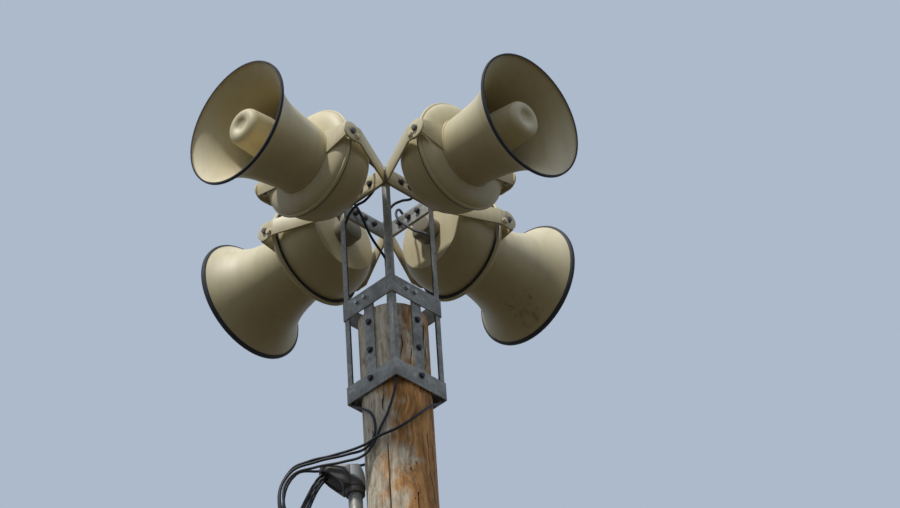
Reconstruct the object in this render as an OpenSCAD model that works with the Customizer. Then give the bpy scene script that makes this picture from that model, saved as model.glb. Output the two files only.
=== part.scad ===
// Outdoor warning siren: four horns on a square steel frame clamped round the top of a wooden pole.
// Millimetres. Z is up, the ground is z = 0 and the pole stands on the Z axis.
// Horns face front (-Y), right (+X), back (+Y) and left (-X).

/* [Pole] */
// Height of the horn axes above the ground
axis_z = 10900; // [9000:50:14000]
// Pole radius at the ground
pole_base_r = 160; // [140:1:180]
// Pole radius from the conduit cap up to the top
pole_top_r = 121.5; // [119:0.5:122]
// Depth of the drying cracks that run along the pole
crack_depth = 26; // [10:1:45]

/* [Frame] */
// Half the width of the square frame over its corner angles
frame_half = 117; // [116:0.5:118]
// Leg length of the corner angles
angle_leg = 21; // [18:1:30]
// Thickness of the angle steel
angle_t = 3; // [2:0.5:4]
// Thickness of the two bands round the frame
band_t = 5; // [3:0.5:8]
// Height of the upper band
upper_band_h = 74; // [50:1:90]
// Height of the lower band
lower_band_h = 70; // [50:1:90]
// Width of the four bars between bands and pole
bar_w = 45; // [30:1:60]

/* [Horns] */
// Outer radius of the bell lip
mouth_r = 232; // [215:1:250]
// Outer radius of the bell at its throat
throat_r = 127; // [118:1:132]
// Distance from the pole axis to the bell lip
mouth_d = 717; // [690:1:760]
// Sheet thickness of the bell and its chamber
wall = 4; // [2.5:0.5:6]
// Outer radius of the rear chamber
chamber_r = 188; // [170:1:192]
// Radius of the driver can
driver_r = 48; // [44:1:60]
// Downward tilt of the front horn
tilt_front = 4.4; // [-3:0.1:8]
// Downward tilt of the right horn
tilt_right = -0.4; // [-3:0.1:8]
// Downward tilt of the back horn
tilt_back = 2; // [-3:0.1:8]
// Downward tilt of the left horn
tilt_left = -0.4; // [-3:0.1:8]

/* [Yokes] */
// Height of the yoke strap
yoke_h = 66; // [50:1:70]
// Thickness of the yoke strap
yoke_t = 6; // [4:0.5:8]
// Inside width between the two yoke ears
yoke_gap = 448; // [440:1:460]
// Distance from the pole axis to the tilt bolts
pivot_d = 383; // [375:1:390]
// Thickness of the horn brackets
bracket_t = 5; // [3:0.5:6]

/* [Conduit] */
// Outer diameter of the conduit
conduit_od = 48.3; // [42:0.1:50]
// Clear gap between pole and conduit
conduit_gap = 12.5; // [9:0.5:16]
// Number of straps that hold the conduit
strap_count = 7; // [3:1:10]

/* [Cables] */
// Diameter of the horn cables
cable_d = 9.5; // [6:0.5:9.5]

/* [Hidden] */
$fn = 96;
SIDES = ["front", "right", "back", "left"];

// Colours as the object shows them
cream = [0.87, 0.83, 0.70];
galvanised = [0.60, 0.63, 0.66];
bare_wood = [0.74, 0.62, 0.48];
dark_grey = [0.22, 0.22, 0.23];
black = [0.06, 0.06, 0.06];

// Heights measured from the horn axes
pole_top = -510;
post_bottom = -851;
post_top = 52;
ring_bottom = -21;
upper_band_bottom = -498;
lower_band_bottom = -853;
bar_bottom = -845;
bar_top = -430;
yoke_centre = -3;
web_rise = 15;
cap_seat = -1215;
taper_top = -1240;

// The pole is cut flat where the clamp bars lie on it
bar_t = 6;
ring_t = 5;
flat_d = frame_half - bar_t;
flats_bottom = axis_z - 880;

// Distances along a horn, measured from the pole axis
rear_face_d = 220;
shell_joint_d = 366;
rim_d = 372;
bracket_back_d = 407;
bell_back_d = bracket_back_d + bracket_t;
flange_t = 6;
throat_d = bell_back_d + flange_t;
lip_len = 7;
trim_back_d = mouth_d - 5;
curve_end_d = mouth_d - lip_len;

// Radii of the horn's turned pieces
bracket_r = 130;
passage_r = 100;
bell_seat_r = 118;
rim_r = 206;
trim_t = 2;
bullet_r = 78;
bullet_nose_r = 69;

// Bolts through yoke ears and bracket lugs
bolt_r = 6;
bolt_hole_r = 6.5;
lock_bolt = [-21, -17];
ear_r = 37;
lug_half_h = 28;
lug_back_d = 350;

// Horn cable outlet on the driver
gland_d = 190;
gland_turn = -45;
gland_len = 82;
gland_bore_r = 5.5;

// Conduit lean follows the taper of the pole
conduit_turn = 135;
conduit_foot_d = pole_base_r + conduit_gap + conduit_od / 2;
conduit_head_d = pole_top_r + conduit_gap + conduit_od / 2;
conduit_lean = atan((conduit_foot_d - conduit_head_d) / (axis_z + taper_top));
conduit_len = (axis_z + cap_seat) / cos(conduit_lean);
ground_clearance = 0.2;
strap_h = 25;

// Weatherhead, with zero on the conduit's axis where the cap's collar begins
cap_half_w = 46;
cap_depth = 25;
mouth_centre = [78, 0, 48.5];
mouth_tilt = 138.4;
mouth_recess = 12;
insert_t = 8;

// Routes of the four cables, from gland to weatherhead, heights from the horn axes
route_front = [
    [51, -195, 66], [63, -195, 78], [76, -166, 103], [66, -134, 92], [58, -107, 50], [28, -101, -8],
    [-26, -101, -48], [-76, -103, -98], [-106, -106, -160], [-106, -106, -850], [-113, -68, -970],
    [-126, -40, -1030], [-134, -8, -1086], [-151, 24, -1126], [-192, 82, -1141], [-246, 160, -1146],
    [-297, 226, -1171], [-317, 246, -1285], [-301, 244, -1313], [-268, 240, -1313], [-252, 238, -1285],
    [-209, 193, -1164], [-190, 174, -1133]
];
route_left = [
    [-190, -51, 50], [-190, -63, 62], [-166, -74, 87], [-138, -66, 89], [-109, -72, 60],
    [-101, -56, 14], [-106, -8, -26], [-110, 50, -30], [-107, 96, -62], [-106, 106, -120],
    [-106, 106, -850], [-126, 48, -910], [-131, 2, -955], [-131, -16, -1005], [-131, -10, -1055],
    [-142, 20, -1094], [-180, 74, -1110], [-240, 160, -1121], [-291, 240, -1149], [-313, 265, -1290],
    [-295, 256, -1325], [-260, 237, -1325], [-242, 228, -1290], [-202, 186, -1173], [-182, 167, -1142]
];
route_right = [
    [190, 51, 50], [190, 63, 62], [166, 74, 88], [132, 64, 92], [101, 50, 40], [104, -20, -60],
    [106, -106, -150], [106, -106, -850], [16, -134, -935], [-46, -129, -1000], [-104, -91, -1056],
    [-142, -32, -1078], [-156, 8, -1092], [-206, 122, -1101], [-250, 188, -1109], [-280, 247, -1129],
    [-304, 279, -1300], [-285, 270, -1337], [-246, 252, -1337], [-227, 243, -1300], [-186, 202, -1173],
    [-167, 182, -1142]
];
route_back = [
    [-51, 192, 58], [-63, 192, 70], [-74, 166, 88], [-64, 132, 92], [-50, 101, 40], [20, 104, -60],
    [106, 106, -150], [106, 106, -850], [22, 133, -930], [-5, 133, -990], [-22, 136, -1040],
    [-62, 156, -1062], [-159, 226, -1088], [-223, 280, -1102], [-250, 313, -1290], [-247, 298, -1317],
    [-240, 267, -1317], [-237, 252, -1290], [-193, 209, -1164], [-174, 190, -1133]
];

function angle_of(side) =
    side == "right" ? 0 : side == "back" ? 90 : side == "left" ? 180 : 270;
function tilt_of(side) =
    side == "right" ? tilt_right : side == "back" ? tilt_back : side == "left" ? tilt_left : tilt_front;
function unit(v) = v / norm(v);
function left_of(a, b) = let (u = unit(b - a)) [-u.y, u.x];

// Point of a bent strip's edge, set off sideways from corner i of its centre line
function edge_point(path, i, off) =
    let (last = len(path) - 1)
    i == 0 ? path[0] + off * left_of(path[0], path[1])
    : i == last ? path[last] + off * left_of(path[last - 1], path[last])
    : let (before = left_of(path[i - 1], path[i]), m = unit(before + left_of(path[i], path[i + 1])))
        path[i] + m * off / (m * before);

// Points that round off the corner at b, between a and c
function bend(a, b, c, r, steps = 3) =
    let (u = unit(a - b), v = unit(c - b), half = acos(u * v) / 2,
         centre = b + unit(u + v) * r / sin(half),
         from = b + u * r / tan(half) - centre, to = b + v * r / tan(half) - centre)
    [for (i = [0:steps]) centre + r * unit(from + (to - from) * i / steps)];

// Quarter of an ellipse round a centre, from one angle to another
function arc(centre, rx, ry, from, to, steps = 6) =
    [for (i = [0:steps]) let (a = from + (to - from) * i / steps) centre + [rx * cos(a), ry * sin(a)]];

// Outer radius of the bell at a distance from the pole axis
bell_slope = 0.11;
function bell_r(d) =
    let (x = d - bell_back_d - wall, full = curve_end_d - bell_back_d - wall)
    throat_r + bell_slope * x + (mouth_r - throat_r - bell_slope * full) * pow(x / full, 4);

// Outer radius of the bullet at a distance from the pole axis
bullet_back_d = 428;
bullet_straight_d = 500;
bullet_nose_d = 673;
function bullet_radius(d) =
    bullet_r - (bullet_r - bullet_nose_r)
        * pow((d - bullet_straight_d) / (bullet_nose_d - bullet_straight_d), 1.15);

// Places children in a horn's own frame: X runs out of the pole axis, level with the horn axes
module on_side(side) {
    translate([0, 0, axis_z]) rotate([0, 0, angle_of(side)]) children();
}

// The same frame, tilted about the two bolts that hold the horn in its yoke
module on_horn(side) {
    on_side(side)
        translate([pivot_d, 0, 0]) rotate([0, tilt_of(side), 0]) translate([-pivot_d, 0, 0])
            children();
}

// Turns a profile of [radius, distance] points about the horn's axis
module turned(profile) {
    rotate([0, 90, 0]) rotate_extrude() polygon(profile);
}

// Rectangle with round corners, centred
module rounded(w, h, r) {
    square([w - 2 * r, h], center = true);
    square([w, h - 2 * r], center = true);
    for (x = [-1, 1])
        for (y = [-1, 1])
            translate([x * (w / 2 - r), y * (h / 2 - r)]) circle(r);
}

// Repeats children on the four sides of the frame
module four_sides() {
    for (side = SIDES)
        on_side(side) children();
}

module pole() {
    crack_w = 7;
    chamfer = 8;
    // Direction, bottom and length of each drying crack
    cracks = [[205, 8300, 1500], [250, 7300, 2300], [310, 4200, 2600], [20, 6100, 3100],
              [95, 2300, 3900], [160, 5200, 2500], [225, 1500, 3600], [340, 600, 2400]];
    top = axis_z + pole_top;
    color(bare_wood) difference() {
        rotate_extrude()
            polygon([[0, 0], [pole_base_r, 0], [pole_top_r, axis_z + taper_top],
                     [pole_top_r, top - chamfer], [pole_top_r - chamfer, top], [0, top]]);
        for (side = SIDES)
            rotate([0, 0, angle_of(side)])
                translate([flat_d, -pole_top_r, flats_bottom])
                    cube([pole_top_r, 2 * pole_top_r, top - flats_bottom + 1]);
        for (c = cracks)
            let (inner = pole_top_r - crack_depth, outer = pole_base_r + 1)
            rotate([0, 0, c[0]]) translate([0, 0, c[1]]) linear_extrude(c[2])
                polygon([[inner, 0], [outer, -crack_w], [outer, crack_w]]);
    }
}

module corner_posts() {
    color(galvanised)
        for (side = SIDES)
            on_side(side) translate([frame_half, -frame_half, post_bottom])
                linear_extrude(post_top - post_bottom)
                    polygon([[0, 0], [0, angle_leg], [-angle_t, angle_leg], [-angle_t, angle_t],
                             [-angle_leg, angle_t], [-angle_leg, 0]]);
}

// Flat bars behind the yokes, welded in between the corner posts and drilled for the yoke bolts
module top_ring() {
    bar_len = 2 * (frame_half - angle_leg);
    bar_h = 62;
    color(galvanised)
        four_sides() difference() {
            translate([frame_half - ring_t, -bar_len / 2, ring_bottom]) cube([ring_t, bar_len, bar_h]);
            yoke_holes();
        }
}

// Holes for the three bolts that hold each yoke on the frame
module yoke_holes() {
    for (y = [-46, 0, 46])
        translate([frame_half - ring_t - 1, y, yoke_centre + web_rise]) rotate([0, 90, 0])
            cylinder(r = bolt_r, h = ring_t + yoke_t + 2);
}

module band(bottom, height) {
    corner_r = band_t + 1;
    color(galvanised)
        translate([0, 0, axis_z + bottom]) linear_extrude(height) difference() {
            rounded(2 * (frame_half + band_t), 2 * (frame_half + band_t), corner_r);
            square(2 * frame_half, center = true);
        }
}

module upper_band() {
    band(upper_band_bottom, upper_band_h);
}

module lower_band() {
    band(lower_band_bottom, lower_band_h);
}

module clamp_bars() {
    color(galvanised)
        four_sides() translate([flat_d, -bar_w / 2, bar_bottom])
            cube([bar_t, bar_w, bar_top - bar_bottom]);
}

// Frame of the conduit: Z runs up its axis from the ground, X points away from the pole
module on_conduit() {
    rotate([0, 0, conduit_turn]) translate([conduit_foot_d, 0, 0]) rotate([0, -conduit_lean, 0])
        children();
}

module conduit() {
    conduit_wall = 3.6;
    coupling_od = 57;
    coupling_len = 62;
    couplings = [3050, 6100, 9150];
    color(galvanised)
        on_conduit() translate([0, 0, ground_clearance]) difference() {
            union() {
                cylinder(d = conduit_od, h = conduit_len - ground_clearance + cap_depth);
                for (z = couplings)
                    translate([0, 0, z - coupling_len / 2]) cylinder(d = coupling_od, h = coupling_len);
            }
            translate([0, 0, -1])
                cylinder(d = conduit_od - 2 * conduit_wall, h = conduit_len + cap_depth + 2);
        }
}

// Strap round the conduit, with a saddle that lies on the pole
module conduit_strap(height) {
    strap_t = 3;
    web_w = 30;
    saddle_w = 90;
    fit = 0.3;
    share = height / (axis_z + taper_top);
    pole_r = pole_base_r + (pole_top_r - pole_base_r) * share;
    conduit_d = conduit_foot_d + (conduit_head_d - conduit_foot_d) * share;
    rotate([0, 0, conduit_turn]) translate([0, 0, height]) difference() {
        union() {
            translate([conduit_d, 0, 0]) cylinder(d = conduit_od + 2 * strap_t, h = strap_h);
            translate([0, -web_w / 2, 0]) cube([conduit_d, web_w, strap_h]);
            intersection() {
                cylinder(r = pole_r + strap_t, h = strap_h);
                translate([0, -saddle_w / 2, 0]) cube([conduit_d, saddle_w, strap_h]);
            }
        }
        translate([conduit_d, 0, -1]) cylinder(d = conduit_od + 2 * fit, h = strap_h + 2);
        translate([0, 0, -1]) cylinder(r = pole_r + fit, h = strap_h + 2);
    }
}

module conduit_straps() {
    lowest = 500;
    highest = axis_z + taper_top - 250;
    color(galvanised)
        for (i = [0:strap_count - 1])
            conduit_strap(lowest + (highest - lowest) * i / (strap_count - 1));
}

// Puts children on the weatherhead's slanted mouth, Z pointing out of it
module on_mouth() {
    on_conduit() translate([0, 0, conduit_len]) translate(mouth_centre) rotate([0, mouth_tilt, 0])
        children();
}

module weatherhead() {
    collar_r = 33;
    hood_bottom = 13;
    crown_r = 48;
    crown_z = 60;
    nose_r = 44;
    nose_x = 120;
    fit = 0.15;
    color([0.55, 0.57, 0.58]) difference() {
        on_conduit() translate([0, 0, conduit_len]) {
            translate([0, 0, -12]) cylinder(r = collar_r, h = 30);
            intersection() {
                translate([0, cap_half_w, 0]) rotate([90, 0, 0]) linear_extrude(2 * cap_half_w)
                    polygon(concat([[38, hood_bottom], [-36, hood_bottom]],
                                   arc([20, 44], 56, 64, 180, 90, 8),
                                   [[90, 105], [108, 99], [116, 93], [nose_x, 85.5], [118, 84]]));
                union() {
                    rotate([90, 0, 90]) translate([0, crown_z, -100]) cylinder(r = crown_r, h = 300);
                    translate([-100, -100, -100]) cube([300, 200, crown_z + 100]);
                }
                translate([0, 0, -20]) linear_extrude(200) {
                    circle(36);
                    translate([nose_x / 2, 0]) rounded(nose_x, 2 * cap_half_w, nose_r);
                }
            }
        }
        on_mouth() translate([0, 0, -mouth_recess]) linear_extrude(mouth_recess + 20)
            rounded(94, 80, 34);
        on_conduit() translate([0, 0, conduit_len - 20])
            cylinder(d = conduit_od + 2 * fit, h = 20 + cap_depth);
    }
}

// Dark plate in the weatherhead's mouth, with a hole for each cable
module weatherhead_insert() {
    hole_r = 5.5;
    rows = [-38, -24];
    lanes = [-11, 11];
    color(dark_grey)
        on_mouth() translate([0, 0, -mouth_recess]) linear_extrude(insert_t) difference() {
            rounded(93.4, 79.4, 33.7);
            for (x = rows)
                for (y = lanes)
                    translate([x, y]) circle(hole_r);
        }
}

// Bent strap that is bolted across the frame and forks round the horn
module yoke(side) {
    bend_r = 20;
    elbow = [345, yoke_gap / 2 + yoke_t / 2];
    ear_end = [pivot_d, elbow.y];
    corner = [frame_half + yoke_t / 2, frame_half - 3];
    half = concat(bend([corner.x, 0], corner, elbow, bend_r), bend(corner, elbow, ear_end, bend_r),
                  [ear_end]);
    path = concat([for (i = [len(half) - 1:-1:0]) [half[i].x, -half[i].y]], half);
    steps = [0:len(path) - 1];
    // The strap's arms slope down from the frame to the ears
    low = [elbow.x, yoke_centre - yoke_h / 2];
    high = [elbow.x, yoke_centre + yoke_h / 2];
    color(cream) difference() {
        union() {
            on_side(side) intersection() {
                translate([0, 0, low.y - 1]) linear_extrude(yoke_h + web_rise + 2)
                    polygon(concat([for (i = steps) edge_point(path, i, yoke_t / 2)],
                                   [for (i = [len(path) - 1:-1:0]) edge_point(path, i, -yoke_t / 2)]));
                translate([0, yoke_gap, 0]) rotate([90, 0, 0]) linear_extrude(2 * yoke_gap)
                    polygon([[0, low.y + web_rise], [corner.x, low.y + web_rise], low, [pivot_d + 1, low.y],
                             [pivot_d + 1, high.y], high, [corner.x, high.y + web_rise],
                             [0, high.y + web_rise]]);
            }
            on_side(side)
                for (y = [-1, 1])
                    translate([pivot_d, y * elbow.y + yoke_t / 2, 0]) rotate([90, 0, 0])
                        cylinder(r = ear_r, h = yoke_t);
        }
        on_side(side) yoke_holes();
        ear_holes(side);
    }
}

// Holes for the two bolts at each end of a horn's bracket
module ear_holes(side) {
    reach = yoke_gap + 40;
    on_horn(side)
        for (p = [[0, 0], lock_bolt])
            translate([pivot_d + p[0], reach / 2, p[1]]) rotate([90, 0, 0])
                cylinder(r = bolt_hole_r, h = reach);
}

// Bolts through yoke ears and bracket lugs, with washer, head and nut
module tilt_bolts() {
    washer_r = 12;
    washer_t = 2;
    head_r = 10.9;
    head_t = 7.5;
    nut_t = 9.5;
    thread_end = 2.5;
    lug_inner = yoke_gap / 2 - bracket_t;
    yoke_outer = yoke_gap / 2 + yoke_t;
    color(galvanised)
        for (side = SIDES)
            on_horn(side)
                for (end = [0, 180])
                    for (p = [[0, 0], lock_bolt])
                        translate([pivot_d + p[0], 0, p[1]]) rotate([end - 90, 0, 0]) {
                            translate([0, 0, lug_inner - nut_t - thread_end])
                                cylinder(r = bolt_r, h = yoke_outer + 1 - lug_inner + nut_t + thread_end);
                            translate([0, 0, lug_inner - nut_t])
                                cylinder(r = head_r, h = nut_t, $fn = 6);
                            translate([0, 0, yoke_outer]) cylinder(r = washer_r, h = washer_t);
                            translate([0, 0, yoke_outer + washer_t])
                                cylinder(r = head_r, h = head_t, $fn = 6);
                        }
}

// Plate between bell and chamber, with wings that fold back into lugs
module bracket(side) {
    wing_y = yoke_gap / 2;
    root = bracket_r * [cos(22), sin(22)];
    corner_r = 12;
    lug_len = bell_back_d - lug_back_d;
    color(cream) difference() {
        on_horn(side) {
            translate([bracket_back_d, 0, 0]) rotate([90, 0, 90]) linear_extrude(bracket_t)
                difference() {
                    union() {
                        circle(bracket_r);
                        polygon([[wing_y, lug_half_h], root, [-root.x, root.y],
                                 [-wing_y, lug_half_h], [-wing_y, -lug_half_h],
                                 [-root.x, -root.y], [root.x, -root.y], [wing_y, -lug_half_h]]);
                    }
                    circle(passage_r);
                }
            for (y = [-wing_y + bracket_t, wing_y])
                translate([lug_back_d, y, 0]) rotate([90, 0, 0]) linear_extrude(bracket_t) {
                    translate([lug_len / 2, 0]) rounded(lug_len, 2 * lug_half_h, corner_r);
                    translate([corner_r, -lug_half_h]) square([lug_len - corner_r, 2 * lug_half_h]);
                }
        }
        ear_holes(side);
    }
}

// Front half of the chamber: a shoulder behind the bracket that ends in a rolled rim
module front_shell(side) {
    roll_r = 6;
    land_r = chamber_r - wall - 2;
    rise = bracket_back_d - rim_d;
    outer = arc([bracket_r, rim_d], rim_r - roll_r - bracket_r, rise, 90, 14, 8);
    roll = arc([rim_r - roll_r, rim_d], roll_r, roll_r, 110, -90, 7);
    inner = arc([bracket_r, rim_d], land_r - bracket_r, rise - wall, 0, 90);
    color(cream)
        on_horn(side)
            turned(concat([[passage_r, bracket_back_d]], outer, roll, [[land_r, shell_joint_d]],
                          inner, [[passage_r, bracket_back_d - wall]]));
}

// Rear half of the chamber: a drum with a long rounded shoulder round a flat back
module rear_shell(side) {
    disc_r = 142;
    opening_r = 42;
    flange_r = rim_r - 6;
    sweep = 45;
    round_r = (chamber_r - disc_r) / (1 - cos(sweep));
    hub = [chamber_r - round_r, rear_face_d + round_r * sin(sweep)];
    inner_sweep = asin((hub.y - rear_face_d - wall) / (round_r - wall));
    color(cream)
        on_horn(side)
            turned(concat([[opening_r, rear_face_d]], arc(hub, round_r, round_r, -sweep, 0, 8),
                          [[chamber_r, shell_joint_d - wall], [flange_r, shell_joint_d - wall],
                           [flange_r, shell_joint_d], [chamber_r - wall, shell_joint_d]],
                          arc(hub, round_r - wall, round_r - wall, 0, -inner_sweep, 8),
                          [[opening_r, rear_face_d + wall]]));
}

// Driver can with its spigot and cable gland
module driver(side) {
    spigot_r = 41.5;
    back_d = 168;
    neck_r = 11;
    color(dark_grey)
        on_horn(side) {
            turned([[0, back_d], [driver_r - 8, back_d], [driver_r, back_d + 8],
                    [driver_r, rear_face_d], [spigot_r, rear_face_d],
                    [spigot_r, rear_face_d + 10], [0, rear_face_d + 10]]);
            translate([gland_d, 0, 0]) rotate([gland_turn, 0, 0]) rotate_extrude()
                polygon([[0, driver_r - 5], [neck_r, driver_r - 5], [neck_r, 66], [9, 67], [9, 76],
                         [7, gland_len], [gland_bore_r, gland_len], [gland_bore_r, 71], [0, 71]]);
        }
}

module bell(side) {
    steps = 14;
    at = [for (i = [0:steps]) throat_d + (curve_end_d - throat_d) * i / steps];
    color(cream)
        on_horn(side)
            turned(concat([[bell_seat_r, bell_back_d], [bracket_r, bell_back_d], [bracket_r, throat_d]],
                          [for (d = at) [bell_r(d), d]],
                          [[mouth_r, mouth_d], [mouth_r - wall, mouth_d]],
                          [for (i = [steps:-1:0]) [bell_r(at[i]) - wall, at[i]]],
                          [[bell_seat_r, throat_d]]));
}

// Dimpled cup in the middle of the bell
module bullet(side) {
    steps = 6;
    nose_round = 27;
    front_d = bullet_nose_d + nose_round;
    at = [for (i = [0:steps])
        bullet_straight_d + (bullet_nose_d - bullet_straight_d) * i / steps];
    nose = [bullet_nose_r - nose_round, bullet_nose_d];
    // Middle of the dimple and its sloping side, as radius and depth behind the front
    dimple = [[0, 13], [12, 12], [20, 9.2]];
    outer = arc(nose, nose_round, nose_round, 125, 0, 9);
    inner = arc(nose, nose_round - wall, nose_round - wall, 0, 125, 9);
    color(cream)
        on_horn(side)
            turned(concat([for (p = dimple) [p.x, front_d - p.y]], outer,
                          [for (i = [steps - 1:-1:0]) [bullet_radius(at[i]), at[i]]],
                          [[bullet_r, bullet_back_d], [bullet_r - wall, bullet_back_d]],
                          [for (i = [0:steps - 1]) [bullet_radius(at[i]) - wall, at[i]]],
                          inner,
                          [for (i = [2:-1:0]) [dimple[i].x, front_d - wall - dimple[i].y]]));
}

// Rings on the brackets, inside the bells' flanges, with three ribs each that carry the bullets
module spiders() {
    ring_inner_r = 104;
    ring_outer_r = 116;
    rib_t = 5;
    rib_top_d = 462;
    root_r = bullet_r - 2;
    color(cream)
        for (side = SIDES)
            on_horn(side) {
                turned([[ring_inner_r, bell_back_d], [ring_outer_r, bell_back_d],
                        [ring_outer_r, throat_d], [ring_inner_r, throat_d]]);
                difference() {
                    for (a = [90, 210, 330])
                        rotate([a, 0, 0]) translate([0, 0, -rib_t / 2]) linear_extrude(rib_t)
                            polygon([[bell_back_d, ring_inner_r], [bell_back_d, ring_outer_r],
                                     [throat_d, ring_outer_r], [rib_top_d, root_r + 4],
                                     [rib_top_d, root_r], [bullet_back_d, root_r]]);
                    translate([bullet_back_d - 1, 0, 0]) rotate([0, 90, 0])
                        cylinder(r = bullet_r, h = rib_top_d - bullet_back_d + 2);
                }
            }
}

// Rubber strip pushed over the edge of each bell
module mouth_trims() {
    front_d = mouth_d + trim_t;
    color(black)
        for (side = SIDES)
            on_horn(side)
                turned([[mouth_r, trim_back_d], [mouth_r + trim_t, trim_back_d],
                        [mouth_r + trim_t, front_d], [mouth_r - wall, front_d],
                        [mouth_r - wall, mouth_d], [mouth_r, mouth_d]]);
}

// Round tube swept along a route, one ring at each of its points
module cable(route) {
    sides = 8;
    last = len(route) - 1;
    across = unit([1, 1, 0]);
    points = [for (i = [0:last])
        let (along = unit(route[min(i + 1, last)] - route[max(i - 1, 0)]),
             u = unit(cross(along, across)), v = cross(along, u))
        for (k = [0:sides - 1])
            route[i] + cable_d / 2 * (cos(360 * k / sides) * u + sin(360 * k / sides) * v)];
    walls = [for (i = [0:last - 1]) for (k = [0:sides - 1])
        let (a = i * sides + k, b = i * sides + (k + 1) % sides)
        each [[a, b, b + sides], [a, b + sides, a + sides]]];
    color(black)
        translate([0, 0, axis_z])
            polyhedron(points, concat(walls, [[for (k = [sides - 1:-1:0]) k]],
                                      [[for (k = [0:sides - 1]) last * sides + k]]));
}

pole();
corner_posts();
top_ring();
upper_band();
lower_band();
clamp_bars();
conduit();
conduit_straps();
weatherhead();
weatherhead_insert();
yoke("front");  // yoke_front
yoke("right");  // yoke_right
yoke("back");  // yoke_back
yoke("left");  // yoke_left
tilt_bolts();
bracket("front");  // bracket_front
bracket("right");  // bracket_right
bracket("back");  // bracket_back
bracket("left");  // bracket_left
front_shell("front");  // front_shell_front
front_shell("right");  // front_shell_right
front_shell("back");  // front_shell_back
front_shell("left");  // front_shell_left
rear_shell("front");  // rear_shell_front
rear_shell("right");  // rear_shell_right
rear_shell("back");  // rear_shell_back
rear_shell("left");  // rear_shell_left
driver("front");  // driver_front
driver("right");  // driver_right
driver("back");  // driver_back
driver("left");  // driver_left
bell("front");  // bell_front
bell("right");  // bell_right
bell("back");  // bell_back
bell("left");  // bell_left
bullet("front");  // bullet_front
bullet("right");  // bullet_right
bullet("back");  // bullet_back
bullet("left");  // bullet_left
spiders();
mouth_trims();
cable(route_front);  // cable_front
cable(route_right);  // cable_right
cable(route_back);  // cable_back
cable(route_left);  // cable_left
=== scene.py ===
import math

import bpy
from mathutils import Matrix, Vector


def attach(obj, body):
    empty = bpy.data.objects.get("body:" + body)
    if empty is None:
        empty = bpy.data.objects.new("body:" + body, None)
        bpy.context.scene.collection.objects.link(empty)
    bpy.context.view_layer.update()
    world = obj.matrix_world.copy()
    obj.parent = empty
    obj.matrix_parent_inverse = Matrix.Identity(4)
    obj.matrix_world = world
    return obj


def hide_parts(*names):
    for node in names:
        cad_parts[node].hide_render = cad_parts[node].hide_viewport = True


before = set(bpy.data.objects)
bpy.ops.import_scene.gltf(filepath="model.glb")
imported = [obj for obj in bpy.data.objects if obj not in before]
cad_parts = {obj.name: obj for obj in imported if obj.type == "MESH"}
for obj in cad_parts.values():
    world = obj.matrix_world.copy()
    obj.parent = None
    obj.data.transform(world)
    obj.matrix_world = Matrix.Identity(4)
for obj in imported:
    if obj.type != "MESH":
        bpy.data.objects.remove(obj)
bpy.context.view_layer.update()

# Camera
# A long lens on the ground, well to one side of the pole, that looks steeply up at the horns
# between the front and the left one. It is rolled by almost four degrees.
eye = Vector((-8.4678, -8.2104, 1.6275))
sight_line = Vector((0.57964, 0.54197, 0.60852)).normalized()
picture_right = Vector((0.71150, -0.70063, -0.05373)).normalized()
picture_up = picture_right.cross(sight_line)
lens = bpy.data.cameras.new("long_lens")
lens.sensor_width = 36
lens.lens = 169.575
camera = bpy.data.objects.new("camera", lens)
bpy.context.scene.collection.objects.link(camera)
camera.matrix_world = (Matrix.Translation(eye)
                       @ Matrix((picture_right, picture_up, -sight_line)).transposed().to_4x4())
bpy.context.scene.camera = camera
bpy.context.scene.view_settings.view_transform = "Standard"

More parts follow.
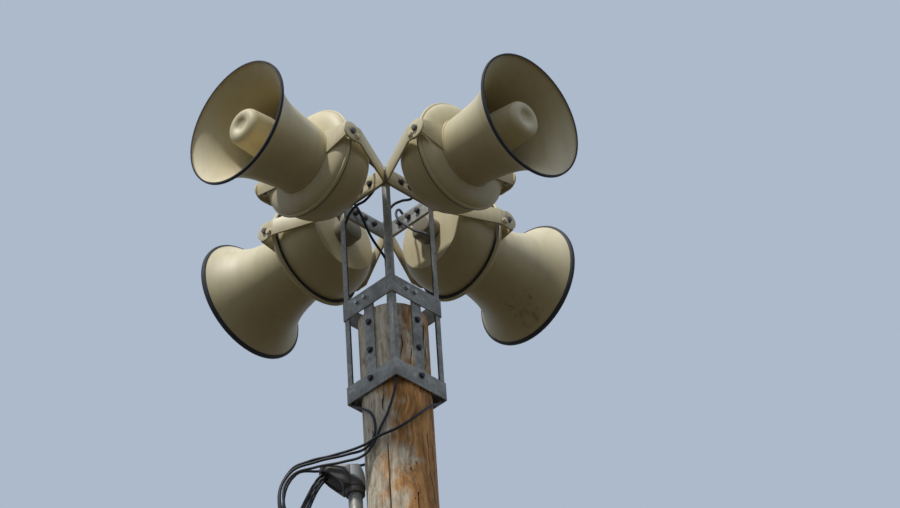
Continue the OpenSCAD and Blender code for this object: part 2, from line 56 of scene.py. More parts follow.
# Horn cables
# One two-core cable for each driver, 9.5 mm over its black PVC jacket. It leaves the driver's
# gland, drops inside a corner angle, crosses the pole and ends in the weatherhead after a drip
# loop. The routes are in millimetres, from the pole's axis and up from the horns' axes.
horn_axis_height = 10.9
cable_width = 0.0095
routes = {
    "front": [
        (51, -195, 66), (63, -195, 78), (76, -166, 103), (66, -134, 92), (58, -107, 50),
        (28, -101, -8), (-26, -101, -48), (-76, -103, -98), (-106, -106, -160),
        (-106, -106, -850), (-113, -68, -970), (-126, -40, -1030), (-134, -8, -1086),
        (-151, 24, -1126), (-192, 82, -1141), (-246, 160, -1146), (-297, 226, -1171),
        (-317, 246, -1285), (-301, 244, -1313), (-268, 240, -1313), (-252, 238, -1285),
        (-209, 193, -1164), (-190, 174, -1133)],
    "left": [
        (-190, -51, 50), (-190, -63, 62), (-166, -74, 87), (-138, -66, 89), (-109, -72, 60),
        (-101, -56, 14), (-106, -8, -26), (-110, 50, -30), (-107, 96, -62), (-106, 106, -120),
        (-106, 106, -850), (-126, 48, -910), (-131, 2, -955), (-131, -16, -1005),
        (-131, -10, -1055), (-142, 20, -1094), (-180, 74, -1110), (-240, 160, -1121),
        (-291, 240, -1149), (-313, 265, -1290), (-295, 256, -1325), (-260, 237, -1325),
        (-242, 228, -1290), (-202, 186, -1173), (-182, 167, -1142)],
    "right": [
        (190, 51, 50), (190, 63, 62), (166, 74, 88), (132, 64, 92), (101, 50, 40),
        (104, -20, -60), (106, -106, -150), (106, -106, -850), (16, -134, -935),
        (-46, -129, -1000), (-104, -91, -1056), (-142, -32, -1078), (-156, 8, -1092),
        (-206, 122, -1101), (-250, 188, -1109), (-280, 247, -1129), (-304, 279, -1300),
        (-285, 270, -1337), (-246, 252, -1337), (-227, 243, -1300), (-186, 202, -1173),
        (-167, 182, -1142)],
    "back": [
        (-51, 192, 58), (-63, 192, 70), (-74, 166, 88), (-64, 132, 92), (-50, 101, 40),
        (20, 104, -60), (106, 106, -150), (106, 106, -850), (22, 133, -930), (-5, 133, -990),
        (-22, 136, -1040), (-62, 156, -1062), (-159, 226, -1088), (-223, 280, -1102),
        (-250, 313, -1290), (-247, 298, -1317), (-240, 267, -1317), (-237, 252, -1290),
        (-193, 209, -1164), (-174, 190, -1133)],
}


def linear(code):
    """sRGB hex code to the linear colour that a shader takes."""
    shares = [int(code[i:i + 2], 16) / 255 for i in (0, 2, 4)]
    return [s / 12.92 if s <= 0.04045 else ((s + 0.055) / 1.055) ** 2.4 for s in shares] + [1.0]


def add(material, kind, inputs=None, **settings):
    """Adds a node; each input is given a value, or a link from another node's output."""
    made = material.node_tree.nodes.new(kind)
    for name, value in settings.items():
        setattr(made, name, value)
    for socket, value in (inputs or {}).items():
        if isinstance(value, bpy.types.NodeSocket):
            material.node_tree.links.new(value, made.inputs[socket])
        else:
            made.inputs[socket].default_value = value
    return made


def finish_named(name, **sockets):
    """A new material, with its shader and its Object coordinates."""
    material = bpy.data.materials.new(name)
    material.use_nodes = True
    shader = material.node_tree.nodes["Principled BSDF"]
    for socket, value in sockets.items():
        shader.inputs[socket.replace("_", " ")].default_value = value
    return material, shader, add(material, "ShaderNodeTexCoord").outputs["Object"]


def give(material, shader, socket, output):
    """Links an output to one of the shader's inputs."""
    material.node_tree.links.new(output, shader.inputs[socket])


# PVC cable jacket, extruded: blue-black and satin, greyed by sun and dust in patches of about
# 22 mm, with a faint roughness of 1.4 mm.
cable_jacket, shader, place = finish_named("cable_jacket_pvc", Roughness=0.58)
dust = add(cable_jacket, "ShaderNodeTexNoise", {"Vector": place, "Scale": 45.0, "Detail": 3.0})
dusty = add(cable_jacket, "ShaderNodeMix",
            {0: dust.outputs["Fac"], 6: linear("14161c"), 7: linear("2e303a")}, data_type="RGBA")
give(cable_jacket, shader, "Base Color", dusty.outputs[2])
rough = add(cable_jacket, "ShaderNodeTexNoise", {"Vector": place, "Scale": 700.0, "Detail": 2.0})
bump = add(cable_jacket, "ShaderNodeBump",
           {"Height": rough.outputs["Fac"], "Strength": 0.25, "Distance": 0.0004})
give(cable_jacket, shader, "Normal", bump.outputs["Normal"])

# A run longer than this gets points between its ends, the outer two close to the bends, so that
# the curve stays straight there.
long_run = 0.2
near_bend = 0.036
for side, route in routes.items():
    points = [Vector((x / 1000, y / 1000, horn_axis_height + z / 1000)) for x, y, z in route]
    filled = [points[0]]
    for a, b in zip(points, points[1:]):
        if (b - a).length > long_run:
            straight = (b - a).normalized()
            runs = int((b - a).length // long_run)
            between = (b - a).length - 2 * near_bend
            filled += [a + straight * (near_bend + between * i / runs) for i in range(runs + 1)]
        filled.append(b)
    line = bpy.data.curves.new("cable_" + side + "_line", "CURVE")
    line.dimensions = "3D"
    line.bevel_depth = cable_width / 2
    line.bevel_resolution = 3
    line.resolution_u = 8
    line.use_fill_caps = True
    spline = line.splines.new("BEZIER")
    spline.bezier_points.add(len(filled) - 1)
    for point, where in zip(spline.bezier_points, filled):
        point.co = where
        point.handle_left_type = point.handle_right_type = "AUTO"
    cable = bpy.data.objects.new("horn_cable_" + side, line)
    bpy.context.scene.collection.objects.link(cable)
    line.materials.append(cable_jacket)
    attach(cable, "root")
    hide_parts("cable_" + side)

# Pole
# A peeled pine pole, set in the ground, that has stood in the weather for years: bleached to
# cream grey where rain reaches it, stained orange brown in patches, with knots and drying cracks.
sheltered_side = (1.9, -2.8, 0.0)
rain_from, rain_above = 9.95, 10.2

# Points this close are one, and these angles part flat from bent and soft from sharp
same_point = 0.00002
flat_angle = math.radians(0.5)
soft_angle = math.radians(30)
sharp_angle = math.radians(32)


def edit(piece):
    """Selects only this piece and all of its mesh, in edit mode."""
    bpy.ops.object.select_all(action="DESELECT")
    bpy.context.view_layer.objects.active = piece
    piece.select_set(True)
    bpy.ops.object.mode_set(mode="EDIT")
    bpy.ops.mesh.select_all(action="SELECT")


def smooth():
    """Back to object mode, with soft shading on all but the selected piece's sharp edges."""
    bpy.ops.object.mode_set(mode="OBJECT")
    bpy.ops.object.shade_smooth_by_angle(angle=soft_angle)


def round_edges(piece, width, segments=2):
    """Rounds the sharp edges a little, as rolling, casting or wear leaves them."""
    bpy.ops.object.mode_set(mode="OBJECT")
    edges = piece.modifiers.new("worn_edges", "BEVEL")
    edges.width = width
    edges.segments = segments
    edges.limit_method = "ANGLE"
    edges.angle_limit = sharp_angle
    edges.use_clamp_overlap = True
    bpy.ops.object.modifier_apply(modifier=edges.name)


def hand_over(piece, material, slot, *nodes):
    """Gives a piece its material and body and hides the nodes it stands for. Slot is not used."""
    piece.data.materials.clear()
    piece.data.materials.append(material)
    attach(piece, "root")
    if nodes:
        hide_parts(*nodes)


def refined(node, material, slot, edge=0.0):
    """A merged copy of a CAD node, with worn edges if asked, which stands for the node."""
    piece = bpy.data.objects.new(node + "_piece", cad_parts[node].data.copy())
    bpy.context.scene.collection.objects.link(piece)
    edit(piece)
    bpy.ops.mesh.customdata_custom_splitnormals_clear()
    bpy.ops.mesh.remove_doubles(threshold=same_point)
    if edge:
        bpy.ops.mesh.dissolve_limited(angle_limit=flat_angle)
        round_edges(piece, edge)
    smooth()
    hand_over(piece, material, slot, node)


# Pine, peeled and weathered. Its fibres are drawn about 12 mm apart, coarser than real so that
# they show. They wander, and run round knots that stand some 170 mm apart.
pole_wood, shader, place = finish_named("weathered_pine", Roughness=0.85)
knot_place = add(pole_wood, "ShaderNodeMapping", {"Vector": place, "Scale": (1, 1, 0.5)})
knots = add(pole_wood, "ShaderNodeTexVoronoi",
            {"Vector": knot_place.outputs[0], "Scale": 6.0, "Randomness": 1.0})
swirl = add(pole_wood, "ShaderNodeMapRange",
            {"Value": knots.outputs["Distance"], "From Min": 0.42, "From Max": 0.0,
             "To Max": 0.035},
            interpolation_type="SMOOTHSTEP")
drift = add(pole_wood, "ShaderNodeTexNoise", {"Vector": place, "Scale": 4.0, "Detail": 2.0})
wander = add(pole_wood, "ShaderNodeVectorMath",
             {0: drift.outputs["Color"], 1: (0.08, 0.08, 0.0), 2: place},
             operation="MULTIPLY_ADD")
round_knots = add(pole_wood, "ShaderNodeVectorMath", {0: wander.outputs[0], 1: swirl.outputs[0]},
                  operation="ADD")
along = add(pole_wood, "ShaderNodeMapping",
            {"Vector": round_knots.outputs[0], "Scale": (1, 1, 0.05)})
fibre = add(pole_wood, "ShaderNodeTexNoise",
            {"Vector": along.outputs[0], "Scale": 80.0, "Detail": 6.0, "Roughness": 0.65})
drawn = add(pole_wood, "ShaderNodeMapRange",
            {"Value": fibre.outputs["Fac"], "From Min": 0.3, "From Max": 0.7})
pale = add(pole_wood, "ShaderNodeMix",
           {0: drawn.outputs[0], 6: linear("948870"), 7: linear("e8dec8")}, data_type="RGBA")
warm = add(pole_wood, "ShaderNodeMix",
           {0: drawn.outputs[0], 6: linear("7c4e22"), 7: linear("e2a967")}, data_type="RGBA")

# Warm wood is left on the sheltered side, in clouds of about 100 mm, with darker stains of about
# 43 mm. Bleached wood takes over towards the top, where rain reaches it.
sheltered = add(pole_wood, "ShaderNodeVectorMath",
                {0: place, 1: sheltered_side}, operation="DOT_PRODUCT")
pole_height = add(pole_wood, "ShaderNodeSeparateXYZ", {"Vector": place})
rained_on = add(pole_wood, "ShaderNodeMapRange",
                {"Value": pole_height.outputs["Z"], "From Min": rain_from,
                 "From Max": rain_above, "To Max": 0.3})
shelter = add(pole_wood, "ShaderNodeMath",
              {0: sheltered.outputs["Value"], 1: rained_on.outputs[0]}, operation="SUBTRACT")
cloud_place = add(pole_wood, "ShaderNodeMapping",
                  {"Vector": round_knots.outputs[0], "Scale": (1, 1, 0.5)})
clouds = add(pole_wood, "ShaderNodeTexNoise",
             {"Vector": cloud_place.outputs[0], "Scale": 10.0, "Detail": 6.0,
              "Roughness": 0.65})
patchy = add(pole_wood, "ShaderNodeMath",
             {0: clouds.outputs["Fac"], 1: 2.2, 2: shelter.outputs[0]},
             operation="MULTIPLY_ADD")
share = add(pole_wood, "ShaderNodeMapRange",
            {"Value": patchy.outputs[0], "From Min": 0.93, "From Max": 1.32},
            interpolation_type="SMOOTHSTEP")
wood = add(pole_wood, "ShaderNodeMix",
           {0: share.outputs[0], 6: pale.outputs[2], 7: warm.outputs[2]}, data_type="RGBA")
stains = add(pole_wood, "ShaderNodeTexNoise",
             {"Vector": cloud_place.outputs[0], "Scale": 23.0, "Detail": 6.0, "Roughness": 0.7})
stain = add(pole_wood, "ShaderNodeMapRange",
            {"Value": stains.outputs["Fac"], "From Min": 0.5, "From Max": 0.68, "To Max": 0.75})
stained = add(pole_wood, "ShaderNodeMix",
              {0: stain.outputs[0], 6: wood.outputs[2], 7: linear("72502f")}, data_type="RGBA")

# Fine drying checks, long and about 14 mm apart, and dark hearts in the knots
thin = add(pole_wood, "ShaderNodeMapping",
           {"Vector": wander.outputs[0], "Scale": (1, 1, 0.012)})
checks = add(pole_wood, "ShaderNodeTexNoise",
             {"Vector": thin.outputs[0], "Scale": 70.0, "Detail": 2.0, "Roughness": 0.5})
check = add(pole_wood, "ShaderNodeMapRange",
            {"Value": checks.outputs["Fac"], "From Min": 0.65, "From Max": 0.7})
checked = add(pole_wood, "ShaderNodeMix",
              {0: check.outputs[0], 6: stained.outputs[2], 7: linear("3a2b1f")},
              data_type="RGBA")
knot = add(pole_wood, "ShaderNodeMapRange",
           {"Value": knots.outputs["Distance"], "From Min": 0.2, "From Max": 0.05,
            "To Max": 0.85})
knotted = add(pole_wood, "ShaderNodeMix",
              {0: knot.outputs[0], 6: checked.outputs[2], 7: linear("4c2c14")},
              data_type="RGBA")
give(pole_wood, shader, "Base Color", knotted.outputs[2])
relief = add(pole_wood, "ShaderNodeMath",
             {0: fibre.outputs["Fac"], 1: check.outputs[0]}, operation="SUBTRACT")
bump = add(pole_wood, "ShaderNodeBump",
           {"Height": relief.outputs[0], "Strength": 0.6, "Distance": 0.004})
give(pole_wood, shader, "Normal", bump.outputs["Normal"])

refined("pole", pole_wood, "weathered_pole_wood")

# Steel frame
# Hot dip galvanised: four corner angles, four flats behind the yokes and two square bands, welded,
# and four clamp bars that lag screws hold to the pole.
sides = ("front", "right", "back", "left")
rolled_edge = 0.0008

# Hot dip galvanised steel, weathered: dull blue grey, with spangle about 12 mm across and clouds
# of about 70 mm.
galvanised, shader, place = finish_named("galvanised_steel", Metallic=0.4)
spangle = add(galvanised, "ShaderNodeTexVoronoi", {"Vector": place, "Scale": 80.0})
spangle_share = add(galvanised, "ShaderNodeSeparateColor", {"Color": spangle.outputs["Color"]})
flake = add(galvanised, "ShaderNodeMix",
            {0: spangle_share.outputs[0], 6: linear("8d8c87"), 7: linear("a9a8a1")},
            data_type="RGBA")
cloud = add(galvanised, "ShaderNodeTexNoise", {"Vector": place, "Scale": 14.0, "Detail": 5.0})
cloudy = add(galvanised, "ShaderNodeMapRange",
             {"Value": cloud.outputs["Fac"], "From Min": 0.42, "From Max": 0.72})
dull = add(galvanised, "ShaderNodeMix",
           {0: cloudy.outputs[0], 6: flake.outputs[2], 7: linear("777671")}, data_type="RGBA")
give(galvanised, shader, "Base Color", dull.outputs[2])
sheen = add(galvanised, "ShaderNodeMapRange",
            {"Value": spangle_share.outputs[1], "To Min": 0.42, "To Max": 0.62})
give(galvanised, shader, "Roughness", sheen.outputs[0])
bump = add(galvanised, "ShaderNodeBump",
           {"Height": cloud.outputs["Fac"], "Strength": 0.25, "Distance": 0.0015})
give(galvanised, shader, "Normal", bump.outputs["Normal"])

for node in ("corner_posts", "top_ring", "upper_band", "lower_band", "clamp_bars"):
    refined(node, galvanised, "galvanised_steel", edge=rolled_edge)

# Lag screws, yoke bolts and nuts: zinc plate gone dull, browned by rust in spots of about 11 mm.
rusty_zinc, shader, place = finish_named("rusty_zinc_plate", Metallic=0.5, Roughness=0.55)
rust = add(rusty_zinc, "ShaderNodeTexNoise", {"Vector": place, "Scale": 90.0, "Detail": 5.0})
rusted = add(rusty_zinc, "ShaderNodeMix",
             {0: rust.outputs["Fac"], 6: linear("56555a"), 7: linear("382e2d")},
             data_type="RGBA")
give(rusty_zinc, shader, "Base Color", rusted.outputs[2])
bump = add(rusty_zinc, "ShaderNodeBump",
           {"Height": rust.outputs["Fac"], "Strength": 0.4, "Distance": 0.0006})
give(rusty_zinc, shader, "Normal", bump.outputs["Normal"])

# The screws in the upper band are newer, and their zinc still shines between spots of about 8 mm.
bright_zinc, shader, place = finish_named("bright_zinc_plate", Metallic=0.7, Roughness=0.4)
dulling = add(bright_zinc, "ShaderNodeTexNoise", {"Vector": place, "Scale": 120.0, "Detail": 4.0})
dulled = add(bright_zinc, "ShaderNodeMix",
             {0: dulling.outputs["Fac"], 6: linear("8d9094"), 7: linear("c6c7c4")},
             data_type="RGBA")
give(bright_zinc, shader, "Base Color", dulled.outputs[2])


def hex_head(name, across, washer, height):
    """A hexagon head on its washer, standing on the origin and pointing up."""
    washer_thickness = 0.0022
    chamfer, crown = across * 0.09, across * 0.05
    broken_edge = 0.0004
    bpy.ops.object.select_all(action="DESELECT")
    bpy.ops.mesh.primitive_cylinder_add(vertices=32, radius=washer / 2, depth=washer_thickness,
                                        location=(0, 0, washer_thickness / 2))
    head = bpy.context.object
    head.name = name
    edit(head)
    bpy.ops.mesh.primitive_cylinder_add(vertices=6, radius=across / 3 ** 0.5, depth=height,
                                        location=(0, 0, washer_thickness + height / 2))
    bpy.ops.object.mode_set(mode="OBJECT")
    for face in head.data.polygons:
        face.select = face.normal.z > 0.9 and face.center.z > height
    bpy.ops.object.mode_set(mode="EDIT")
    bpy.ops.mesh.select_mode(type="FACE")
    bpy.ops.mesh.inset(thickness=chamfer)
    bpy.ops.transform.translate(value=(0, 0, crown))
    bpy.ops.mesh.select_all(action="SELECT")
    bpy.ops.mesh.normals_make_consistent(inside=False)
    round_edges(head, broken_edge, segments=1)
    smooth()
    return head


def copies(name, model, places):
    """One piece made of a copy of the model at each place, given as a matrix."""
    made = []
    for place in places:
        one = bpy.data.objects.new(name, model.data.copy())
        bpy.context.scene.collection.objects.link(one)
        one.data.transform(place)
        made.append(one)
    bpy.ops.object.select_all(action="DESELECT")
    for one in made:
        one.select_set(True)
    bpy.context.view_layer.objects.active = made[0]
    bpy.ops.object.join()
    made[0].name = name
    return made[0]


def side_frame(side):
    """One side of the siren: X points away from the pole's axis, at the height of the horns'."""
    turn = {"right": 0, "back": 90, "left": 180, "front": 270}[side]
    return (Matrix.Translation((0, 0, horn_axis_height))
            @ Matrix.Rotation(math.radians(turn), 4, "Z"))


def on_side(side, outward, sideways, up, facing=1):
    """A place on one side of the frame, with Z pointing away from the pole, or to it."""
    return (side_frame(side) @ Matrix.Translation((outward, sideways, up))
            @ Matrix.Rotation(facing * math.pi / 2, 4, "Y"))


# How far the heads' seats are from the pole's axis, and where the screws are on each side
band_face = 0.122
bar_face = 0.117
yoke_face = 0.123
flat_inside = 0.112
upper_band_up, upper_band_sideways = -0.456, (-0.010, -0.049)
lower_band_up = -0.806
bar_rows_up = (-0.566, -0.685)
yoke_bolts_up, yoke_bolts_sideways = 0.012, (-0.046, 0.0, 0.046)

lag_head = hex_head("lag_head", across=0.016, washer=0.026, height=0.008)
bright_screws = copies("upper_band_screws", lag_head,
                       [on_side(side, band_face, sideways, upper_band_up)
                        for side in sides for sideways in upper_band_sideways])
hand_over(bright_screws, bright_zinc, "galvanised_steel")
lag_screws = copies("lag_screws", lag_head,
                    [on_side(side, band_face, 0.0, lower_band_up) for side in sides]
                    + [on_side(side, bar_face, 0.0, up) for side in sides for up in bar_rows_up])
hand_over(lag_screws, rusty_zinc, "galvanised_steel")
yoke_bolts = copies("yoke_bolts", lag_head,
                    [on_side(side, yoke_face, sideways, yoke_bolts_up)
                     for side in sides for sideways in yoke_bolts_sideways])
hand_over(yoke_bolts, rusty_zinc, "galvanised_steel")
bpy.data.objects.remove(lag_head)
nut = hex_head("yoke_nut", across=0.018, washer=0.020, height=0.010)
yoke_nuts = copies("yoke_nuts", nut,
                   [on_side(side, flat_inside, sideways, yoke_bolts_up, facing=-1)
                    for side in sides for sideways in yoke_bolts_sideways])
hand_over(yoke_nuts, rusty_zinc, "galvanised_steel")
bpy.data.objects.remove(nut)

# Conduit and weatherhead
# Threaded steel conduit of 48 mm with couplings, strapped to the pole, and a cast aluminium cap
# whose black plate takes the four cables. Below a line that climbs towards its tip, and on faces
# that look down, the cap is brown black: painted shade under its hood and beneath, with dirt.
dark_line_slope = (0.573, -0.573, 1.0)
dark_line_above, dark_line_below = 9.615, 9.590
pressed_edge = 0.0006
cast_edge = 0.0015

refined("conduit", galvanised, "galvanised_steel", edge=pressed_edge)
refined("conduit_straps", galvanised, "galvanised_steel", edge=pressed_edge)

# Sand cast aluminium, left raw: light grey with a grain of about 2.6 mm and blotches of 31 mm,
# brown black below the slanting line and underneath, as painted shade with grime.
cast_aluminium, shader, place = finish_named("cast_aluminium", Metallic=0.25, Roughness=0.62)
grain = add(cast_aluminium, "ShaderNodeTexNoise",
            {"Vector": place, "Scale": 380.0, "Detail": 3.0})
stain = add(cast_aluminium, "ShaderNodeTexNoise",
            {"Vector": place, "Scale": 32.0, "Detail": 4.0})
cast = add(cast_aluminium, "ShaderNodeMix",
           {0: stain.outputs["Fac"], 6: linear("999b9d"), 7: linear("c0c2c1")},
           data_type="RGBA")
facing = add(cast_aluminium, "ShaderNodeSeparateXYZ",
             {"Vector": add(cast_aluminium, "ShaderNodeNewGeometry").outputs["Normal"]})
slanting = add(cast_aluminium, "ShaderNodeVectorMath",
               {0: place, 1: dark_line_slope}, operation="DOT_PRODUCT")
# Painted shade with grime: darker below the slanting line and on faces that look down.
low = add(cast_aluminium, "ShaderNodeMapRange",
          {"Value": slanting.outputs["Value"], "From Min": dark_line_above,
           "From Max": dark_line_below})
under = add(cast_aluminium, "ShaderNodeMapRange",
            {"Value": facing.outputs["Z"], "From Min": -0.25, "From Max": -0.75})
shaded_and_sheltered = add(cast_aluminium, "ShaderNodeMath",
                       {0: low.outputs[0], 1: under.outputs[0]}, operation="MAXIMUM")
shade_and_grime_sum = add(cast_aluminium, "ShaderNodeMath",
                {0: shaded_and_sheltered.outputs[0], 1: stain.outputs["Fac"]}, operation="ADD")
shade_and_grime = add(cast_aluminium, "ShaderNodeMapRange",
            {"Value": shade_and_grime_sum.outputs[0], "From Min": 0.75, "From Max": 1.25, "To Max": 0.9})
shaded_and_grimy = add(cast_aluminium, "ShaderNodeMix",
            {0: shade_and_grime.outputs[0], 6: cast.outputs[2], 7: linear("3a332c")}, data_type="RGBA")
give(cast_aluminium, shader, "Base Color", shaded_and_grimy.outputs[2])
bump = add(cast_aluminium, "ShaderNodeBump",
           {"Height": grain.outputs["Fac"], "Strength": 0.5, "Distance": 0.0008})
give(cast_aluminium, shader, "Normal", bump.outputs["Normal"])
refined("weatherhead", cast_aluminium, "cast_cap", edge=cast_edge)

# Moulded phenolic plate, brown black and matt, with a faint mottle of about 6 mm
black_plate, shader, place = finish_named("moulded_black_plate", Roughness=0.6)
mottle = add(black_plate, "ShaderNodeTexNoise", {"Vector": place, "Scale": 160.0, "Detail": 3.0})
mottled = add(black_plate, "ShaderNodeMix",
              {0: mottle.outputs["Fac"], 6: linear("1a1517"), 7: linear("3a2f2d")},
              data_type="RGBA")
give(black_plate, shader, "Base Color", mottled.outputs[2])
refined("weatherhead_insert", black_plate, "black_insert", edge=0.0004)

# Yokes and brackets
# Each horn hangs in a strap of bent 6 mm steel, bolted through the frame's flats, and a pressed
# bracket carries it by two lugs. All of it has the horns' cream enamel, which is stained at one
# place on the right horn's bell.
stain_place = (0.645, -0.03, 10.725)
stain_reach_from, stain_reach_to = 0.11, 0.02
bent_edge = 0.001

# Cream enamel on steel: warm, satin and smooth, with orange peel of about 2.4 mm. It is lighter
# on faces that look up, partly bleached and partly painted light, and darker and olive on faces
# that look down, as painted shade with grime in blotches of 200 mm. Rain has drawn faint runs
# down it, some 33 mm apart.
cream_paint, shader, place = finish_named("cream_enamel")
facing = add(cream_paint, "ShaderNodeSeparateXYZ",
             {"Vector": add(cream_paint, "ShaderNodeNewGeometry").outputs["Normal"]})
blotch = add(cream_paint, "ShaderNodeTexNoise",
             {"Vector": place, "Scale": 5.0, "Detail": 3.0, "Roughness": 0.5})
# Painted light, with sun bleaching: faces that look up get the lighter cream.
bleach_and_light_up = add(cream_paint, "ShaderNodeMapRange",
             {"Value": facing.outputs["Z"], "From Min": -0.4, "From Max": 0.9},
             interpolation_type="SMOOTHSTEP")
body = add(cream_paint, "ShaderNodeMix",
           {0: bleach_and_light_up.outputs[0], 6: linear("cec4a2"), 7: linear("e1d6b6")}, data_type="RGBA")
runs_place = add(cream_paint, "ShaderNodeMapping", {"Vector": place, "Scale": (1, 1, 0.12)})
runs = add(cream_paint, "ShaderNodeTexNoise",
           {"Vector": runs_place.outputs[0], "Scale": 30.0, "Detail": 4.0, "Roughness": 0.55})
run = add(cream_paint, "ShaderNodeMapRange",
          {"Value": runs.outputs["Fac"], "From Min": 0.4, "From Max": 0.8, "To Max": 0.28})
run_down = add(cream_paint, "ShaderNodeMix",
               {0: run.outputs[0], 6: body.outputs[2], 7: linear("a39469")}, data_type="RGBA")
# Painted shade, with grime: faces that look down turn darker and olive.
shade_and_grime_below = add(cream_paint, "ShaderNodeMapRange",
            {"Value": facing.outputs["Z"], "From Min": 0.2, "From Max": -0.9, "To Max": 0.68},
            interpolation_type="SMOOTHSTEP")
shade_and_grime_tone = add(cream_paint, "ShaderNodeMix",
                {0: blotch.outputs["Fac"], 6: linear("978b4e"), 7: linear("937648")},
                data_type="RGBA")
shaded_and_grimy_body = add(cream_paint, "ShaderNodeMix",
            {0: shade_and_grime_below.outputs[0], 6: run_down.outputs[2], 7: shade_and_grime_tone.outputs[2]},
            data_type="RGBA")
spots = add(cream_paint, "ShaderNodeTexNoise",
            {"Vector": place, "Scale": 30.0, "Detail": 6.0, "Roughness": 0.7})
stain_centre = add(cream_paint, "ShaderNodeVectorMath",
                   {0: place, 1: stain_place}, operation="DISTANCE")
stain_reach = add(cream_paint, "ShaderNodeMapRange",
                  {"Value": stain_centre.outputs["Value"], "From Min": stain_reach_from,
                   "From Max": stain_reach_to, "To Max": 0.17})
spot_sum = add(cream_paint, "ShaderNodeMath",
               {0: spots.outputs["Fac"], 1: stain_reach.outputs[0]}, operation="ADD")
spot = add(cream_paint, "ShaderNodeMapRange",
           {"Value": spot_sum.outputs[0], "From Min": 0.64, "From Max": 0.8, "To Max": 0.55})
spotted = add(cream_paint, "ShaderNodeMix",
              {0: spot.outputs[0], 6: shaded_and_grimy_body.outputs[2], 7: linear("5b3f24")}, data_type="RGBA")
give(cream_paint, shader, "Base Color", spotted.outputs[2])
satin = add(cream_paint, "ShaderNodeMapRange",
            {"Value": blotch.outputs["Fac"], "From Min": 0.3, "From Max": 0.7,
             "To Min": 0.42, "To Max": 0.56})
give(cream_paint, shader, "Roughness", satin.outputs[0])
peel = add(cream_paint, "ShaderNodeTexNoise", {"Vector": place, "Scale": 420.0, "Detail": 2.0})
bump = add(cream_paint, "ShaderNodeBump",
           {"Height": peel.outputs["Fac"], "Strength": 0.1, "Distance": 0.0005})
give(cream_paint, shader, "Normal", bump.outputs["Normal"])

for side in sides:
    refined("yoke_" + side, cream_paint, "cream_paint", edge=bent_edge)
    refined("bracket_" + side, cream_paint, "cream_paint", edge=bent_edge)

# The bolts that set each horn's tilt: the lock bolts were painted with the horns, and the pivot
# bolts, further out and up, weren't and went dull grey. Both are mottled in spots of about 7 mm.
# A line through this point, so far out and so far below the horns' axes, parts the two kinds.
parting_out, parting_down = 0.3725, 0.0085
parting_slope = 0.81
tilt_bolt_finish, shader, place = finish_named("painted_and_dull_bolts", Roughness=0.5)
away = add(tilt_bolt_finish, "ShaderNodeVectorMath", {0: place}, operation="ABSOLUTE")
away_each = add(tilt_bolt_finish, "ShaderNodeSeparateXYZ", {"Vector": away.outputs[0]})
along_horn = add(tilt_bolt_finish, "ShaderNodeMath",
                 {0: away_each.outputs["X"], 1: away_each.outputs["Y"]}, operation="MAXIMUM")
up_and_out = add(tilt_bolt_finish, "ShaderNodeMath",
                 {0: away_each.outputs["Z"], 1: parting_slope, 2: along_horn.outputs[0]},
                 operation="MULTIPLY_ADD")
pivot_bolt = add(tilt_bolt_finish, "ShaderNodeMath",
                 {0: up_and_out.outputs[0],
                  1: parting_out + parting_slope * (horn_axis_height - parting_down)},
                 operation="GREATER_THAN")
dull_spots = add(tilt_bolt_finish, "ShaderNodeTexNoise",
                 {"Vector": place, "Scale": 150.0, "Detail": 4.0})
dull_zinc = add(tilt_bolt_finish, "ShaderNodeMix",
                {0: dull_spots.outputs["Fac"], 6: linear("4c4a4c"), 7: linear("75716e")},
                data_type="RGBA")
bolt_paint = add(tilt_bolt_finish, "ShaderNodeMix",
                 {0: dull_spots.outputs["Fac"], 6: linear("b9ac8a"), 7: linear("ded3b4")},
                 data_type="RGBA")
bolt_tone = add(tilt_bolt_finish, "ShaderNodeMix",
                {0: pivot_bolt.outputs[0], 6: bolt_paint.outputs[2], 7: dull_zinc.outputs[2]},
                data_type="RGBA")
give(tilt_bolt_finish, shader, "Base Color", bolt_tone.outputs[2])
refined("tilt_bolts", tilt_bolt_finish, "galvanised_steel", edge=0.0005)

# Chambers and drivers
# Two spun steel half shells make the chamber. The front one ends in a rolled rim, and a black
# rubber ring seals the flange of the rear one against it; its black is also painted shade for the
# gap under the rim. A driver in an enamelled can closes the back.
for side in sides:
    refined("front_shell_" + side, cream_paint, "cream_paint")
    refined("rear_shell_" + side, cream_paint, "cream_paint")

# Warm grey enamel on a die cast can: half matt, with a cast skin of about 2 mm and dust on top
# in patches of 25 mm
driver_enamel, shader, place = finish_named("warm_grey_enamel", Roughness=0.45)
facing = add(driver_enamel, "ShaderNodeSeparateXYZ",
             {"Vector": add(driver_enamel, "ShaderNodeNewGeometry").outputs["Normal"]})
settled = add(driver_enamel, "ShaderNodeTexNoise",
              {"Vector": place, "Scale": 40.0, "Detail": 4.0})
dust_sum = add(driver_enamel, "ShaderNodeMath",
               {0: settled.outputs["Fac"], 1: facing.outputs["Z"]}, operation="ADD")
dust = add(driver_enamel, "ShaderNodeMapRange",
           {"Value": dust_sum.outputs[0], "From Min": 0.2, "From Max": 1.7})
dusted = add(driver_enamel, "ShaderNodeMix",
             {0: dust.outputs[0], 6: linear("7a7465"), 7: linear("a09984")}, data_type="RGBA")
give(driver_enamel, shader, "Base Color", dusted.outputs[2])
cast_skin = add(driver_enamel, "ShaderNodeTexNoise",
                {"Vector": place, "Scale": 500.0, "Detail": 2.0})
bump = add(driver_enamel, "ShaderNodeBump",
           {"Height": cast_skin.outputs["Fac"], "Strength": 0.2, "Distance": 0.0006})
give(driver_enamel, shader, "Normal", bump.outputs["Normal"])
for side in sides:
    refined("driver_" + side, driver_enamel, "driver_paint", edge=0.0012)

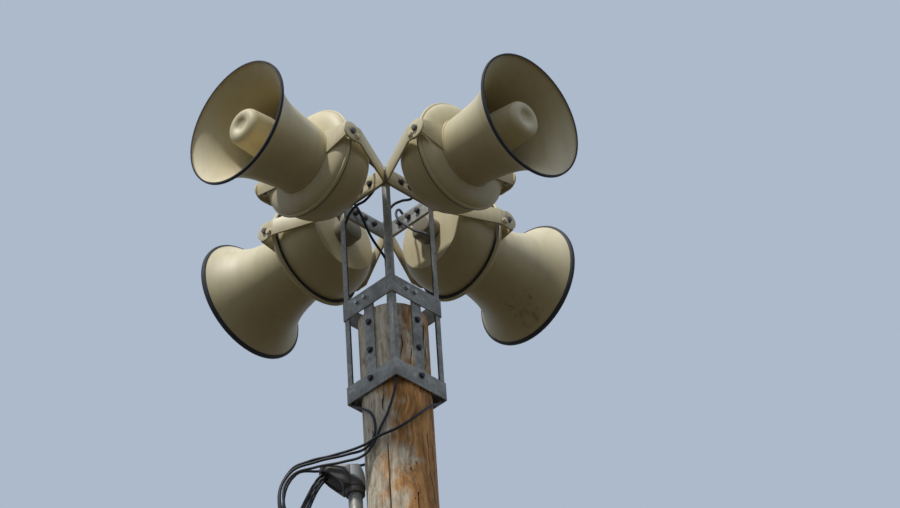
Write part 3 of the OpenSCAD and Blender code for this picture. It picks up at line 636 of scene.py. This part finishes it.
# EPDM rubber: matt black, greyed by sun in patches of about 33 mm, with a skin of 1.7 mm
rubber, shader, place = finish_named("epdm_rubber", Roughness=0.65)
bloom = add(rubber, "ShaderNodeTexNoise", {"Vector": place, "Scale": 30.0, "Detail": 4.0})
bloomed = add(rubber, "ShaderNodeMix",
              {0: bloom.outputs["Fac"], 6: linear("16181d"), 7: linear("33363d")},
              data_type="RGBA")
give(rubber, shader, "Base Color", bloomed.outputs[2])
skin = add(rubber, "ShaderNodeTexNoise", {"Vector": place, "Scale": 600.0, "Detail": 2.0})
bump = add(rubber, "ShaderNodeBump",
           {"Height": skin.outputs["Fac"], "Strength": 0.3, "Distance": 0.0004})
give(rubber, shader, "Normal", bump.outputs["Normal"])

pivot_distance = 0.383
tilts = {"front": 4.4, "right": -0.4, "back": 2.0, "left": -0.4}
# Seal ring in the gap under the rim: real rubber, and partly painted shade of that gap.
gap_shade_seal_outside, gap_shade_seal_inside = 0.2005, 0.1885
gap_shade_seal_back, gap_shade_seal_front = 0.3590, 0.3625


def on_horn(side):
    """The horn's own frame, tilted about its pivot: X runs out along it from the pole's axis."""
    return (side_frame(side)
            @ Matrix.Translation((pivot_distance, 0, 0))
            @ Matrix.Rotation(math.radians(tilts[side]), 4, "Y")
            @ Matrix.Translation((-pivot_distance, 0, 0)))


def horn_rings(name, section, edge):
    """One ring on each horn, drawn from a circle round its section of radius and distance out."""
    radius, out = section[0]
    bpy.ops.object.select_all(action="DESELECT")
    bpy.ops.mesh.primitive_circle_add(vertices=128, radius=radius, location=(0, 0, out))
    ring = bpy.context.object
    edit(ring)
    bpy.ops.mesh.select_mode(type="EDGE")
    for (radius, out), (next_radius, next_out) in zip(section, section[1:]):
        bpy.ops.mesh.extrude_edges_move(TRANSFORM_OT_translate={"value": (0, 0, next_out - out)})
        bpy.ops.transform.resize(value=(next_radius / radius, next_radius / radius, 1))
    bpy.ops.mesh.select_all(action="DESELECT")
    bpy.ops.mesh.select_non_manifold()
    bpy.ops.mesh.bridge_edge_loops()
    bpy.ops.mesh.select_all(action="SELECT")
    bpy.ops.mesh.normals_make_consistent(inside=False)
    round_edges(ring, edge)
    smooth()
    ring.data.transform(Matrix.Rotation(math.pi / 2, 4, "Y") @ Matrix.Translation(ring.location))
    rings = copies(name, ring, [on_horn(side) for side in sides])
    bpy.data.objects.remove(ring)
    hand_over(rings, rubber, "trim_rubber")


# A black ring: the seal, and painted shade in the gap under the rim.
horn_rings("chamber_seals_and_gap_shade", [(gap_shade_seal_outside, gap_shade_seal_back), (gap_shade_seal_outside, gap_shade_seal_front),
                             (gap_shade_seal_inside, gap_shade_seal_front), (gap_shade_seal_inside, gap_shade_seal_back)], edge=0.001)

# Bells
# Spun steel bells with a plain lip in a push-on rubber strip, and a dimpled bullet on the three
# ribs of a cast spider, which folds the sound path back on itself.
for side in sides:
    refined("bell_" + side, cream_paint, "cream_paint")
    refined("bullet_" + side, cream_paint, "cream_paint")
refined("spiders", cream_paint, "cream_paint", edge=0.0005)
refined("mouth_trims", rubber, "trim_rubber", edge=0.0008)

# The strip's back flange, which grips the flare for 12 mm behind the lip
flange_section = [(0.2312, 0.7160), (0.2346, 0.7160), (0.2346, 0.7092),
                  (0.2271, 0.7024), (0.2251, 0.7045), (0.2310, 0.7110)]
horn_rings("mouth_trim_flanges", flange_section, edge=0.0006)

# Floor, light and background
# A plain pale floor, one soft sun high on the left and an even light from all round. What the
# camera and shiny metal see of that is a pale blue, and what it gives to the shade is darker.
bpy.ops.object.select_all(action="DESELECT")
bpy.ops.mesh.primitive_plane_add(size=240, location=(0, 0, -0.002))
floor = bpy.context.object
floor.name = "studio_floor"
floor_paint, shader, place = finish_named("floor_paint", Roughness=0.9)
path = add(floor_paint, "ShaderNodeLightPath")
floor_tone = add(floor_paint, "ShaderNodeMix",
                 {0: path.outputs["Is Camera Ray"], 6: linear("57534a"), 7: linear("cfd4da")},
                 data_type="RGBA")
give(floor_paint, shader, "Base Color", floor_tone.outputs[2])
floor.data.materials.append(floor_paint)

sun = bpy.data.lights.new("soft_sun", "SUN")
sun.energy = 2.65
sun.color = (1.0, 0.975, 0.93)
sun.angle = math.radians(4)
lamp = bpy.data.objects.new("soft_sun", sun)
bpy.context.scene.collection.objects.link(lamp)
sun_turn, sun_height = math.radians(184), math.radians(57)
towards_sun = Vector((math.cos(sun_turn) * math.cos(sun_height),
                      math.sin(sun_turn) * math.cos(sun_height), math.sin(sun_height)))
lamp.rotation_mode = "QUATERNION"
lamp.rotation_quaternion = towards_sun.to_track_quat("Z", "Y")

shade_light = (0.39, 0.43, 0.50, 1.0)
world = bpy.data.worlds.new("even_light")
bpy.context.scene.world = world
world.use_nodes = True
background = world.node_tree.nodes["Background"]
path = add(world, "ShaderNodeLightPath")
seen_or_mirrored = add(world, "ShaderNodeMath",
                       {0: path.outputs["Is Camera Ray"], 1: path.outputs["Is Glossy Ray"]},
                       operation="MAXIMUM")
shown = add(world, "ShaderNodeMath",
            {0: seen_or_mirrored.outputs[0], 1: path.outputs["Is Transmission Ray"]},
            operation="MAXIMUM")
tone = add(world, "ShaderNodeMix",
           {0: shown.outputs[0], 6: shade_light, 7: linear("adbacb")}, data_type="RGBA")
give(world, background, "Color", tone.outputs[2])
